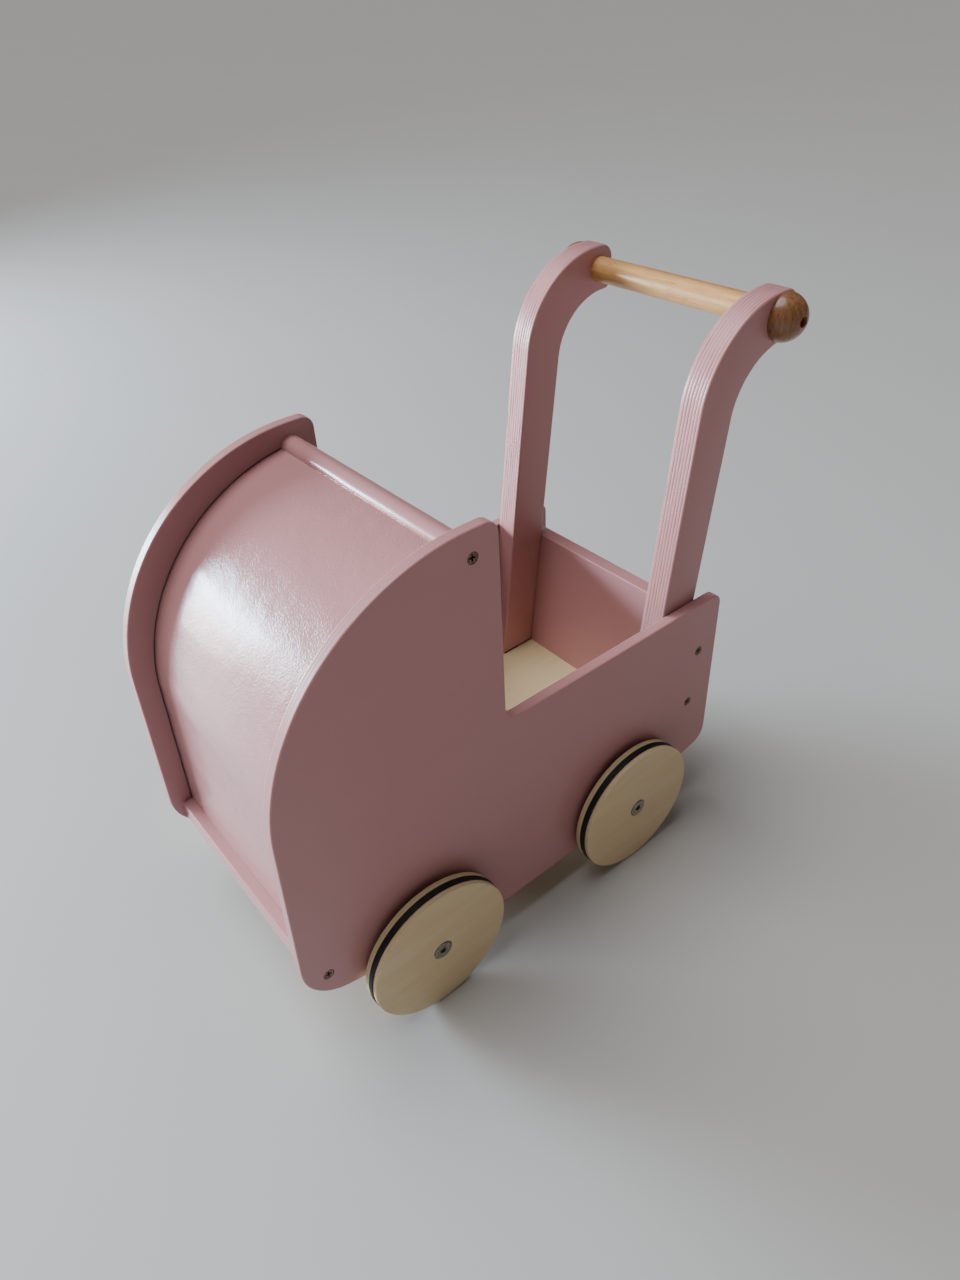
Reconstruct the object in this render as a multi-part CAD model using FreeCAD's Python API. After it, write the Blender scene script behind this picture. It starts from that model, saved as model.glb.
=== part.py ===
import FreeCAD
import Part
import math
import os

from FreeCAD import Vector

# Doll pram of painted birch plywood, built from its separate pieces.
# Millimetres. +Z is up, -Y is the front (the hood end), +X is the pram's left side.
# The pieces are drawn from the front axle, with y = 0 on its line and z = 0 on the floor,
# and are moved together at the end so that the origin is at the middle of the base.

# ---- Overall sizes -------------------------------------------------------------------------
body_width = 218.0            # over the outer faces of the side panels
wheelbase = 209.0             # front axle to rear axle
tyre_radius = 60.0
panel_top = 385.0             # top of the hood above the floor
ledge_height = 224.0          # top edge of the open body
belly_height = 34.0           # lowest edge of the side panels
handle_height = 433.0         # centre of the handle rod above the floor

# ---- Side panels ---------------------------------------------------------------------------
panel_thickness = 9.0
panel_edge_round = 1.2
hood_radius = 160.0
hood_centre_y = 63.5
front_lean = math.radians(2.1)
hood_rear_y = 84.0
hood_rear_round = 10.0
notch_round = 12.0
ledge_rear_round = 10.0
panel_rear_overhang = 104.5   # past the rear axle
rear_corner_height = 66.0
rear_corner_round = 16.0
front_corner_height = 75.6
front_corner_round = 42.0
belly_front_y = 53.0
belly_rear_inset = 45.0       # before the rear axle
belly_round = 120.0

# ---- Hood ----------------------------------------------------------------------------------
sheet_thickness = 3.0
sheet_radius_less = 3.4       # how much tighter than the panels' arc the sheet is bent
sheet_inset_front = 17.3      # behind the panels' front edge, at the height of the hood's centre
sheet_inset_top = 16.5        # below the panels' top
sheet_housing = 3.5           # how far each edge runs into its groove
sheet_shadow_gap = 1.1        # open width of the groove outside the sheet
hood_rod_radius = 8.5
hood_rod_drop = 19.2          # centre of the rod below the panels' top
sheet_bite = 3.0              # how far the sheet's ends run into the rod and the bar

# ---- Front bar, floor and rear panel -------------------------------------------------------
bar_depth = 20.0
bar_height = 18.0
bar_inset = 8.7               # front face behind the panels' front edge
bar_centre_height = 92.6
bar_edge_round = 1.5          # front edges only
floor_top = 92.0
floor_thickness = 9.0
floor_housing = 4.0
rear_thickness = 15.0
rear_foot_overhang = 64.1     # past the rear axle, front face of the rear panel at the floor's top
rear_top_height = 207.3
rear_drop = 12.0              # how far the rear panel reaches below the floor's top
rear_edge_round = 1.0         # top edges only

# ---- Handle --------------------------------------------------------------------------------
upright_lean = math.radians(7.56)
upright_thickness = 21.0
upright_width = 36.0
upright_bend_radius = 51.0    # inside of the bend
upright_crown_radius = 78.0   # outside of the bend
upright_tip = 15.5            # past the centre of the handle rod
upright_tip_round = 12.0
upright_chin_round = 8.0      # under the tip
upright_edge_round = 1.8
handle_before_bend = 6.7      # centre of the handle rod before the end of the inner bend
handle_rod_radius = 10.0
handle_socket_depth = 6.0
cap_radius = 17.5

# ---- Wheels --------------------------------------------------------------------------------
wheel_gap = 4.0               # side panel to wheel
outer_lip = 4.0
tyre_groove_width = 5.6
inner_lip = 4.4
tyre_stand = 0.5              # tyre proud of the wooden rim
tyre_groove_depth = 4.0
tyre_crown = 1.4
rim_round = 1.1
bush_radius = 6.0
bush_gap = 0.03
spacer_radius = 8.0
wheel_end_play = 0.3

# ---- Axle beams and bolts ------------------------------------------------------------------
beam_width = 24.0
beam_below_axle = 7.0
shank_radius = 4.0
shank_running_gap = 0.08
bolt_head_radius = 7.5
bolt_head_thickness = 2.2
bolt_head_stand = 0.5         # head proud of the wheel's face
bolt_head_gap = 0.6           # round the head, in the wheel's counterbore
bolt_head_round = 0.5
bolt_socket_width = 5.0
bolt_socket_floor = 0.4       # left under the hexagon socket
bolt_thread_radius = 3.0
insert_radius = 5.0
insert_length = 16.0

# ---- Screws --------------------------------------------------------------------------------
screw_head_radius = 4.3
screw_shank_radius = 2.1
screw_length = 40.0
screw_tip = 4.0
screw_sink = 0.3              # head below the painted face
upright_screw_length = 45.0
upright_screw_rises = (50.0, 100.0)   # along the rear panel from the floor's top
rear_screw_heights = (123.5, 175.2)
cap_screw_length = 50.0
cap_screw_head_radius = 3.0
cap_screw_head_height = 2.0
cap_screw_depth = 7.0         # head's face below the top of the cap
cap_screw_socket = 3.0        # hexagon, across the flats
recess_arm = 1.0              # width of each arm of the cross recess
recess_span = 4.7             # tip to tip
recess_depth = 1.6

# ---- Fits ----------------------------------------------------------------------------------
fit_gap = 0.1                 # glued and housed pieces
screw_gap = 0.05
overcut = 1.0                 # how far a cutting shape stands past the face it opens

# ---- Sizes that follow from the ones above -------------------------------------------------
panel_outer_x = body_width / 2
panel_inner_x = panel_outer_x - panel_thickness
axle_height = tyre_radius
axle_lines = {"front": 0.0, "rear": wheelbase}
sides = {"left": 1, "right": -1}
hood_centre_z = panel_top - hood_radius
panel_rear_y = wheelbase + panel_rear_overhang
belly_rear_y = wheelbase - belly_rear_inset
rear_foot_y = wheelbase + rear_foot_overhang
sheet_radius = hood_radius - sheet_radius_less
wheel_thickness = outer_lip + tyre_groove_width + inner_lip
wheel_inner_x = panel_outer_x + wheel_gap
wheel_outer_x = wheel_inner_x + wheel_thickness
rim_radius = tyre_radius - tyre_stand
floor_underside = floor_top - floor_thickness
bar_top = bar_centre_height + bar_height / 2
hood_rod_centre = (hood_centre_y, panel_top - hood_rod_drop)
upright_top = handle_height + upright_width / 2
upright_under = handle_height - upright_width / 2
upright_inner_x = panel_inner_x - upright_thickness
cap_screw_face_x = panel_inner_x + cap_radius - cap_screw_depth
x_axis = Vector(1, 0, 0)
tiny = 1e-4                   # two places nearer than this are one


def front_edge_y(z, centre_y, centre_z, radius):
    """Front line that leans outwards going down and is tangent to an arc of this radius."""
    return centre_y - radius / math.cos(front_lean) - (centre_z - z) * math.tan(front_lean)


def panel_front_y(z):
    return front_edge_y(z, hood_centre_y, hood_centre_z, hood_radius)


def rear_face_y(z):
    """Front face of the rear panel, which is also the rear edge of the uprights."""
    return rear_foot_y + (z - floor_top) * math.tan(upright_lean)


sheet_centre_y = panel_front_y(hood_centre_z) + sheet_inset_front + sheet_radius
sheet_centre_z = panel_top - sheet_inset_top - sheet_radius
bar_front_y = panel_front_y(bar_top) + bar_inset
bar_rear_y = bar_front_y + bar_depth
bend_centre_z = upright_under - upright_bend_radius
bend_centre_y = rear_face_y(bend_centre_z) + upright_bend_radius / math.cos(upright_lean)
handle_centre = (bend_centre_y - handle_before_bend, handle_height)


# ---- Drawing helpers -----------------------------------------------------------------------
def point(y, z):
    return Vector(0, y, z)


def rounded_outline(corners):
    """Closed wire through (y, z, radius) corners, each rounded by a tangent arc."""
    count = len(corners)
    starts = []
    ends = []
    arcs = []
    for index, (y, z, radius) in enumerate(corners):
        corner = point(y, z)
        before = point(*corners[index - 1][:2]) - corner
        after = point(*corners[(index + 1) % count][:2]) - corner
        before.normalize()
        after.normalize()
        half_angle = before.getAngle(after) / 2
        reach = radius / math.tan(half_angle)
        start = corner + before * reach
        end = corner + after * reach
        starts.append(start)
        ends.append(end)
        if radius > 0:
            bisector = before + after
            bisector.normalize()
            middle = corner + bisector * (radius / math.sin(half_angle) - radius)
            arcs.append(Part.Arc(start, middle, end).toShape())
        else:
            arcs.append(None)
    edges = []
    for index in range(count):
        if arcs[index] is not None:
            edges.append(arcs[index])
        leave = ends[index]
        arrive = starts[(index + 1) % count]
        if leave.distanceToPoint(arrive) > tiny:
            edges.append(Part.makeLine(leave, arrive))
    return Part.Wire(edges)


def plate(wire, x_low, x_high):
    """Solid between two x planes with the wire's outline."""
    face = Part.Face(wire)
    solid = face.extrude(Vector(x_high - x_low, 0, 0))
    solid.translate(Vector(x_low, 0, 0))
    return solid


def block(x_low, x_high, y_low, y_high, z_low, z_high):
    size = (x_high - x_low, y_high - y_low, z_high - z_low)
    return Part.makeBox(*size, Vector(x_low, y_low, z_low))


def rod(radius, x_low, x_high, centre):
    """Cylinder along X between two x planes about (y, z)."""
    base = Vector(x_low, centre[0], centre[1])
    return Part.makeCylinder(radius, x_high - x_low, base, x_axis)


def turned(profile, centre):
    """Solid of revolution about the X line through (y, z), from (x, radius) points."""
    points = [Vector(x, radius, 0) for x, radius in profile]
    face = Part.Face(Part.makePolygon(points + points[:1]))
    solid = face.revolve(Vector(0, 0, 0), x_axis, 360)
    solid.translate(Vector(0, centre[0], centre[1]))
    return solid


def soften_rims(solid, radius, x_planes, above=-math.inf):
    """Round the edges that lie in the given x planes and reach above a height."""
    def chosen(edge):
        corners = edge.Vertexes
        flat = any(all(abs(corner.X - x) < tiny for corner in corners) for x in x_planes)
        return flat and any(corner.Z > above + tiny for corner in corners)
    return solid.makeFillet(radius, [edge for edge in solid.Edges if chosen(edge)])


def mirrored(shape):
    return shape.mirror(Vector(0, 0, 0), x_axis)


def on_both_sides(shape):
    return [shape, mirrored(shape)]


def hex_socket(width, x_low, x_high, centre):
    """Six-sided recess about the X line through (y, z), by its width across the flats."""
    corner_radius = width / math.sqrt(3)
    corners = []
    for index in range(6):
        angle = index * math.pi / 3
        y = centre[0] + corner_radius * math.cos(angle)
        z = centre[1] + corner_radius * math.sin(angle)
        corners.append((y, z, 0))
    return plate(rounded_outline(corners), x_low, x_high)


# ---- Screws --------------------------------------------------------------------------------
def screw_body(length, gap):
    """Countersunk head, shank and point about the X axis, with the head's face at x = 0."""
    head = screw_head_radius + gap
    shank = screw_shank_radius + gap
    tip_x = -length - gap
    profile = [(0, 0), (0, head), (shank - head, shank), (tip_x + screw_tip, shank), (tip_x, 0)]
    return turned(profile, (0, 0))


def countersunk_screw(length):
    """Screw along X with its face at x = 0 and its point towards -X."""
    screw = screw_body(length, 0)
    for half_y, half_z in ((recess_span, recess_arm), (recess_arm, recess_span)):
        slot = block(-recess_depth, overcut, -half_y / 2, half_y / 2, -half_z / 2, half_z / 2)
        screw = screw.cut(slot)
    return screw


def countersunk_hole(length):
    """The hole that the same screw sits in, open at the painted face above its head."""
    mouth = rod(screw_head_radius + screw_gap, 0, screw_sink + overcut, (0, 0))
    return screw_body(length, screw_gap).fuse(mouth)


def rear_mid_y(z):
    """Middle of the rear panel's thickness at a height."""
    return rear_face_y(z) + rear_thickness / 2 / math.cos(upright_lean)


panel_screw_places = {
    "hood_rod": [hood_rod_centre],
    "front_bar": [(bar_front_y + bar_depth / 2, bar_centre_height)],
    "rear_panel": [(rear_mid_y(z), z) for z in rear_screw_heights],
}


def left_panel_screws(make, piece):
    """Screws, or their holes, that run through the left panel into the named piece."""
    placed = []
    for y, z in panel_screw_places[piece]:
        shape = make(screw_length)
        shape.translate(Vector(panel_outer_x - screw_sink, y, z))
        placed.append(shape)
    return placed


def panel_screws(make, piece):
    both = []
    for shape in left_panel_screws(make, piece):
        both += on_both_sides(shape)
    return both


def upright_screws(make):
    """Screws, or their holes, through the rear panel into the rear edges of the two uprights."""
    along = Vector(0, math.sin(upright_lean), math.cos(upright_lean))
    back = Vector(0, math.cos(upright_lean), -math.sin(upright_lean))
    placed = []
    for side in sides.values():
        for rise in upright_screw_rises:
            shape = make(upright_screw_length)
            shape.rotate(Vector(0, 0, 0), Vector(0, 0, 1), 90)
            shape.rotate(Vector(0, 0, 0), x_axis, -math.degrees(upright_lean))
            place = point(rear_foot_y, floor_top) + along * rise + back * (rear_thickness - screw_sink)
            place.x = side * (panel_inner_x - upright_thickness / 2)
            shape.translate(place)
            placed.append(shape)
    return placed


def cap_screw_body(face_x, gap):
    """Pan head, shank and point of the screw in the left end of the handle rod."""
    seat_x = cap_screw_face_x - cap_screw_head_height
    tip_x = seat_x - cap_screw_length - gap
    head = cap_screw_head_radius + gap
    shank = screw_shank_radius + gap
    profile = [(face_x, 0), (face_x, head), (seat_x, head), (seat_x, shank),
               (tip_x + screw_tip, shank), (tip_x, 0)]
    return turned(profile, handle_centre)


def make_cap_screw():
    """Screw through the left cap and upright into the end of the handle rod."""
    socket = hex_socket(cap_screw_socket, cap_screw_face_x - recess_depth,
                        cap_screw_face_x + overcut, handle_centre)
    return cap_screw_body(cap_screw_face_x, 0).cut(socket)


def cap_screw_hole():
    return cap_screw_body(panel_inner_x + cap_radius + overcut, screw_gap)


# ---- Side panels ---------------------------------------------------------------------------
def panel_outline():
    lowest_slope = ((front_corner_height - belly_height)
                    / (belly_front_y - panel_front_y(front_corner_height)))
    front_z = front_corner_height
    front_y = belly_front_y - (front_z - belly_height) / lowest_slope
    return rounded_outline([
        (front_y, front_z, front_corner_round),
        (panel_front_y(panel_top), panel_top, hood_radius),
        (hood_rear_y, panel_top, hood_rear_round),
        (hood_rear_y, ledge_height, notch_round),
        (panel_rear_y, ledge_height, ledge_rear_round),
        (panel_rear_y, rear_corner_height, rear_corner_round),
        (belly_rear_y, belly_height, belly_round),
        (belly_front_y, belly_height, belly_round),
    ])


def hood_band(inside, outside, bottom, end_gap=0.0):
    """Outline of the bent sheet, or of its groove when widened inside and outside."""
    outer = sheet_radius + outside
    inner = sheet_radius - sheet_thickness - inside
    start = math.pi - front_lean
    reach_y = hood_rod_centre[0] - hood_rod_radius + sheet_bite + end_gap
    end = math.acos((reach_y - sheet_centre_y) / sheet_radius)

    def on_arc(radius, angle):
        return point(sheet_centre_y + radius * math.cos(angle), sheet_centre_z + radius * math.sin(angle))

    def foot(radius):
        return point(front_edge_y(bottom, sheet_centre_y, sheet_centre_z, radius), bottom)

    middle = (start + end) / 2
    outer_arc = Part.Arc(*[on_arc(outer, a) for a in (start, middle, end)]).toShape()
    inner_arc = Part.Arc(*[on_arc(inner, a) for a in (end, middle, start)]).toShape()
    return Part.Wire([
        Part.makeLine(foot(outer), on_arc(outer, start)),
        outer_arc,
        Part.makeLine(on_arc(outer, end), on_arc(inner, end)),
        inner_arc,
        Part.makeLine(on_arc(inner, start), foot(inner)),
        Part.makeLine(foot(inner), foot(outer)),
    ])


def floor_outline(gap=0.0):
    """Floor board's section: square at the front, bevelled to the leaning rear panel."""
    low = floor_underside - gap
    high = floor_top + gap
    return rounded_outline([
        (bar_rear_y, low, 0),
        (bar_rear_y, high, 0),
        (rear_face_y(high), high, 0),
        (rear_face_y(low), low, 0),
    ])


def make_side_panel():
    solid = plate(panel_outline(), panel_inner_x, panel_outer_x)
    solid = soften_rims(solid, panel_edge_round, (panel_inner_x, panel_outer_x))
    groove = plate(hood_band(fit_gap, sheet_shadow_gap, bar_top - sheet_bite - fit_gap, fit_gap),
                   panel_inner_x - overcut, panel_inner_x + sheet_housing + fit_gap)
    housing = plate(floor_outline(fit_gap),
                    panel_inner_x - overcut, panel_inner_x + floor_housing + fit_gap)
    cuts = [groove, housing]
    for piece in panel_screw_places:
        cuts += left_panel_screws(countersunk_hole, piece)
    for line_y in axle_lines.values():
        cuts.append(rod(shank_radius + fit_gap, panel_inner_x - overcut, panel_outer_x + overcut,
                        (line_y, axle_height)))
    return solid.cut(cuts)


# ---- Hood, front bar, floor and rear panel -------------------------------------------------
def make_hood_sheet():
    edge_x = panel_inner_x + sheet_housing
    return plate(hood_band(0, 0, bar_top - sheet_bite), -edge_x, edge_x)


def sheet_space():
    """The sheet with a little room round it, for the grooves in the rod and the bar."""
    band = hood_band(fit_gap, fit_gap, bar_top - sheet_bite - fit_gap, fit_gap)
    return plate(band, -panel_outer_x, panel_outer_x)


def make_hood_rod():
    solid = rod(hood_rod_radius, -panel_inner_x, panel_inner_x, hood_rod_centre)
    return solid.cut([sheet_space()] + panel_screws(countersunk_hole, "hood_rod"))


def make_front_bar():
    outline = rounded_outline([
        (bar_front_y, bar_top - bar_height, bar_edge_round),
        (bar_front_y, bar_top, bar_edge_round),
        (bar_rear_y, bar_top, 0),
        (bar_rear_y, bar_top - bar_height, 0),
    ])
    solid = plate(outline, -panel_inner_x, panel_inner_x)
    return solid.cut([sheet_space()] + panel_screws(countersunk_hole, "front_bar"))


def make_floor_panel():
    edge_x = panel_inner_x + floor_housing
    return plate(floor_outline(), -edge_x, edge_x)


def make_rear_panel():
    low = floor_top - rear_drop
    back_y = rear_thickness / math.cos(upright_lean)
    sink = rear_thickness * math.sin(upright_lean)
    outline = rounded_outline([
        (rear_face_y(low), low, 0),
        (rear_face_y(rear_top_height), rear_top_height, rear_edge_round),
        (rear_face_y(rear_top_height - sink) + back_y, rear_top_height - sink, rear_edge_round),
        (rear_face_y(low) + back_y, low, 0),
    ])
    solid = plate(outline, -panel_inner_x, panel_inner_x)
    return solid.cut(upright_screws(countersunk_hole) + panel_screws(countersunk_hole, "rear_panel"))


# ---- Handle --------------------------------------------------------------------------------
def make_upright():
    tip_y = handle_centre[0] + upright_tip
    front_shift = upright_width / math.cos(upright_lean)
    outline = rounded_outline([
        (rear_face_y(floor_top) - front_shift, floor_top, 0),
        (rear_face_y(upright_top) - front_shift, upright_top, upright_crown_radius),
        (tip_y, upright_top, upright_tip_round),
        (tip_y, upright_under, upright_chin_round),
        (rear_face_y(upright_under), upright_under, upright_bend_radius),
        (rear_face_y(floor_top), floor_top, 0),
    ])
    solid = plate(outline, upright_inner_x, panel_inner_x)
    solid = soften_rims(solid, upright_edge_round, (upright_inner_x, panel_inner_x), floor_top)
    socket = rod(handle_rod_radius + fit_gap, upright_inner_x - overcut,
                 upright_inner_x + handle_socket_depth + fit_gap, handle_centre)
    return solid.cut([socket, cap_screw_hole()] + upright_screws(countersunk_hole))


def make_handle_rod():
    end_x = upright_inner_x + handle_socket_depth
    solid = rod(handle_rod_radius, -end_x, end_x, handle_centre)
    return solid.cut(on_both_sides(cap_screw_hole()))


def make_handle_cap():
    """Half ball with its flat on the upright's outer face."""
    ball = Part.makeSphere(cap_radius, Vector(panel_inner_x, handle_centre[0], handle_centre[1]))
    outer_half = rod(cap_radius + overcut, panel_inner_x, panel_inner_x + cap_radius + overcut,
                     handle_centre)
    return ball.common(outer_half).cut(cap_screw_hole())


# ---- Wheels and axles ----------------------------------------------------------------------
counterbore_radius = bolt_head_radius + bolt_head_gap
head_outer_x = wheel_outer_x + bolt_head_stand
head_inner_x = head_outer_x - bolt_head_thickness
counterbore_x = head_inner_x - wheel_end_play
spacer_outer_x = wheel_inner_x - wheel_end_play
groove_low_x = wheel_inner_x + inner_lip
groove_high_x = groove_low_x + tyre_groove_width
groove_radius = rim_radius - tyre_groove_depth


def make_wheel_disc(centre):
    solid = rod(rim_radius, wheel_inner_x, wheel_outer_x, centre)
    solid = soften_rims(solid, rim_round, (wheel_inner_x, wheel_outer_x))
    groove = rod(rim_radius + overcut, groove_low_x, groove_high_x, centre)
    groove = groove.cut(rod(groove_radius, groove_low_x, groove_high_x, centre))
    bore = rod(bush_radius + bush_gap, wheel_inner_x - overcut, wheel_outer_x + overcut, centre)
    counterbore = rod(counterbore_radius, counterbore_x, wheel_outer_x + overcut, centre)
    return solid.cut([groove, bore, counterbore])


def make_tyre(centre):
    """Flat rubber band with crowned shoulders, seated in the wheel's groove."""
    solid = rod(tyre_radius, groove_low_x + fit_gap, groove_high_x - fit_gap, centre)
    solid = soften_rims(solid, tyre_crown, (groove_low_x + fit_gap, groove_high_x - fit_gap))
    return solid.cut(rod(groove_radius + bush_gap, wheel_inner_x, wheel_outer_x, centre))


def make_wheel_bush(centre):
    solid = rod(bush_radius, wheel_inner_x, counterbore_x, centre)
    return solid.cut(rod(shank_radius + shank_running_gap,
                         wheel_inner_x - overcut, counterbore_x + overcut, centre))


def make_wheel_bolt(centre):
    thread_end_x = panel_inner_x - insert_length
    head = rod(bolt_head_radius, head_inner_x, head_outer_x, centre)
    head = soften_rims(head, bolt_head_round, (head_outer_x,))
    shank = rod(shank_radius, panel_inner_x, head_inner_x, centre)
    thread = rod(bolt_thread_radius, thread_end_x, panel_inner_x, centre)
    socket = hex_socket(bolt_socket_width, head_inner_x + bolt_socket_floor,
                        head_outer_x + overcut, centre)
    return head.fuse([shank, thread]).removeSplitter().cut(socket)


def make_wheel_spacer(centre):
    solid = rod(spacer_radius, panel_outer_x, spacer_outer_x, centre)
    return solid.cut(rod(shank_radius + fit_gap,
                         panel_outer_x - overcut, spacer_outer_x + overcut, centre))


def make_threaded_insert(centre):
    low_x = panel_inner_x - insert_length
    solid = rod(insert_radius, low_x, panel_inner_x, centre)
    return solid.cut(rod(bolt_thread_radius + screw_gap,
                         low_x - overcut, panel_inner_x + overcut, centre))


def make_axle_beam(centre):
    """Hardwood beam glued under the floor, with an insert in each end."""
    low_z = centre[1] - beam_below_axle
    solid = block(-panel_inner_x, panel_inner_x,
                  centre[0] - beam_width / 2, centre[0] + beam_width / 2, low_z, floor_underside)
    hole = rod(insert_radius + screw_gap, panel_inner_x - insert_length - fit_gap,
               panel_inner_x + overcut, centre)
    return solid.cut(on_both_sides(hole))


# ---- The pram ------------------------------------------------------------------------------
def build():
    """All pieces by node name. A list is a group of identical separate solids."""
    panel = make_side_panel()
    upright = make_upright()
    cap = make_handle_cap()
    nodes = {
        "side_panel_left": [panel],
        "side_panel_right": [mirrored(panel)],
        "hood_sheet": [make_hood_sheet()],
        "hood_rod": [make_hood_rod()],
        "front_bar": [make_front_bar()],
        "floor_panel": [make_floor_panel()],
        "rear_panel": [make_rear_panel()],
        "handle_upright_left": [upright],
        "handle_upright_right": [mirrored(upright)],
        "handle_rod": [make_handle_rod()],
        "handle_cap_left": [cap],
        "handle_cap_right": [mirrored(cap)],
        "handle_cap_screws": on_both_sides(make_cap_screw()),
        "panel_screws": [],
        "upright_screws": upright_screws(countersunk_screw),
        "wheel_bolts": [],
        "wheel_spacers": [],
        "threaded_inserts": [],
    }
    for piece in panel_screw_places:
        nodes["panel_screws"] += panel_screws(countersunk_screw, piece)
    for end, line_y in axle_lines.items():
        centre = (line_y, axle_height)
        nodes["axle_beam_" + end] = [make_axle_beam(centre)]
        nodes["wheel_bolts"] += on_both_sides(make_wheel_bolt(centre))
        nodes["wheel_spacers"] += on_both_sides(make_wheel_spacer(centre))
        nodes["threaded_inserts"] += on_both_sides(make_threaded_insert(centre))
        wheel = {
            "wheel_disc": make_wheel_disc(centre),
            "tyre": make_tyre(centre),
            "wheel_bush": make_wheel_bush(centre),
        }
        for name, shape in wheel.items():
            for side, sign in sides.items():
                placed = shape if sign > 0 else mirrored(shape)
                nodes[name + "_" + end + "_" + side] = [placed]
    return nodes


def middle_of_length():
    """Halfway from the front of the side panels to the back of the handle caps."""
    front = panel_outline().BoundBox.YMin
    return (front + handle_centre[0] + cap_radius) / 2


def write(nodes):
    os.makedirs("parts", exist_ok=True)
    to_origin = Vector(0, -middle_of_length(), 0)
    for name, solids in nodes.items():
        shape = solids[0] if len(solids) == 1 else Part.makeCompound(solids)
        shape = shape.copy()
        shape.translate(to_origin)
        if not shape.isValid():
            raise ValueError("not a valid shape: " + name)
        shape.exportStep("parts/" + name + ".step")


write(build())
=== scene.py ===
import math

import bpy
import numpy as np
from bpy.props import FloatProperty, FloatVectorProperty, PointerProperty
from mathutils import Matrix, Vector


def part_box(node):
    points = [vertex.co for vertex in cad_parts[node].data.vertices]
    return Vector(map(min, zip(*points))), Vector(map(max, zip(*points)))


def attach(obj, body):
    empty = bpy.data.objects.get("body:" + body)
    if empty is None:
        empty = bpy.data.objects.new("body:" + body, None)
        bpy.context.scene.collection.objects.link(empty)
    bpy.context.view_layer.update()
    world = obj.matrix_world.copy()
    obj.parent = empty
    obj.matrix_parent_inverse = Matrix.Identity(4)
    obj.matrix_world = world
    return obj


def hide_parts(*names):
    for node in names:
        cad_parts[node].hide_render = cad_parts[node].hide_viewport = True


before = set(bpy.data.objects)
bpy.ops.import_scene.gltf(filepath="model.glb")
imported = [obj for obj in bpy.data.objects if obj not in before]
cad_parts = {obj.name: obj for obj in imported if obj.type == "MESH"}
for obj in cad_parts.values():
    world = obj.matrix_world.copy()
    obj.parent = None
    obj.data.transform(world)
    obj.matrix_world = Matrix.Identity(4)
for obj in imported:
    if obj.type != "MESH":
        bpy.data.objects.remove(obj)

# The looks of a painted wooden doll pram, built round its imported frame.
# Metres. +Z is up, -Y is the front (the hood end), +X is the pram's left side.

bl_info = {
    "name": "Doll Pram",
    "version": (1, 0, 0),
    "blender": (4, 5, 0),
    "location": "3D View > Sidebar > Doll Pram",
    "description": "Builds the detailed pieces, finishes and stage of a wooden doll pram",
    "category": "Object",
}

MM = 0.001
FULL_TURN = 2 * math.pi
BODY = "pram_body"
# Each wheel and its side of the X axis.
WHEELS = {"front_left": 1, "front_right": -1, "rear_left": 1, "rear_right": -1}
SHARP_ANGLE = math.radians(32)
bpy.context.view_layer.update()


# ---- Arrays ----
def centre_of(node):
    low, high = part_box(node)
    return (low + high) / 2


def round_box(node):
    """Middle of a round node's X line, its radius, and its least and greatest distance from X = 0."""
    low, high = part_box(node)
    middle = (low + high) / 2
    inner, outer = sorted((abs(low.x), abs(high.x)))
    return (0, middle.y, middle.z), (high.z - low.z) / 2, inner, outer


def signed_volume(mesh):
    """Sum of the scalar triple products of the triangles' corners, over six."""
    mesh.calc_loop_triangles()
    places = np.empty(len(mesh.vertices) * 3)
    mesh.vertices.foreach_get("co", places)
    corners = np.empty(len(mesh.loop_triangles) * 3, np.int32)
    mesh.loop_triangles.foreach_get("vertices", corners)
    a, b, c = places.reshape(-1, 3)[corners.reshape(-1, 3)].transpose(1, 0, 2)
    return np.einsum("ij,ij->", a, np.cross(b, c)) / 6


def shell_mesh(name, grids, closed=False):
    """Mesh from grids shaped (rows, columns, 3) whose columns run round a ring.

    Neighbouring rows are joined by quads. The last row meets the first when closed, and
    otherwise the first and the last rows are each filled by one face.
    """
    points = []
    faces = []
    start = 0
    for grid in grids:
        rows, columns = grid.shape[:2]
        index = start + np.arange(rows * columns).reshape(rows, columns)
        ring = np.vstack([index, index[:1]]) if closed else index
        beside = np.roll(ring, -1, axis=1)
        quads = np.stack([ring[:-1], beside[:-1], beside[1:], ring[1:]], axis=-1)
        faces += quads.reshape(-1, 4).tolist()
        if not closed:
            faces += [index[0, ::-1].tolist(), index[-1].tolist()]
        points.append(grid.reshape(-1, 3))
        start += rows * columns
    mesh = bpy.data.meshes.new(name)
    mesh.from_pydata(np.vstack(points).tolist(), [], faces)
    mesh.validate()
    if signed_volume(mesh) < 0:
        mesh.flip_normals()
    mesh.polygons.foreach_set("use_smooth", np.ones(len(mesh.polygons), bool))
    mesh.set_sharp_from_angle(angle=SHARP_ANGLE)
    return mesh


def link_object(name, data):
    made = bpy.data.objects.new(name, data)
    bpy.context.scene.collection.objects.link(made)
    return made


def add_piece(name, grids, body, material, node, closed=False):
    """Links a new piece, parents it to its body's empty, gives it its material and hides the node that it
    stands for.
    """
    piece = link_object(name, shell_mesh(name, grids, closed))
    piece.data.materials.append(material)
    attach(piece, body)
    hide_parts(node)


def finish_nodes(material, *nodes):
    """Gives the frame's own meshes a finish."""
    for node in nodes:
        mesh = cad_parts[node].data
        mesh.materials.clear()
        mesh.materials.append(material)


def around_x(along, radius, angle, centre, sign=1):
    """Points at x = sign * along and at the radius, turned by the angle, round the centre's X line."""
    x = np.broadcast_to(centre[0] + sign * along, radius.shape)
    return np.stack([x, centre[1] + radius * np.cos(angle), centre[2] + radius * np.sin(angle)], -1)


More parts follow.
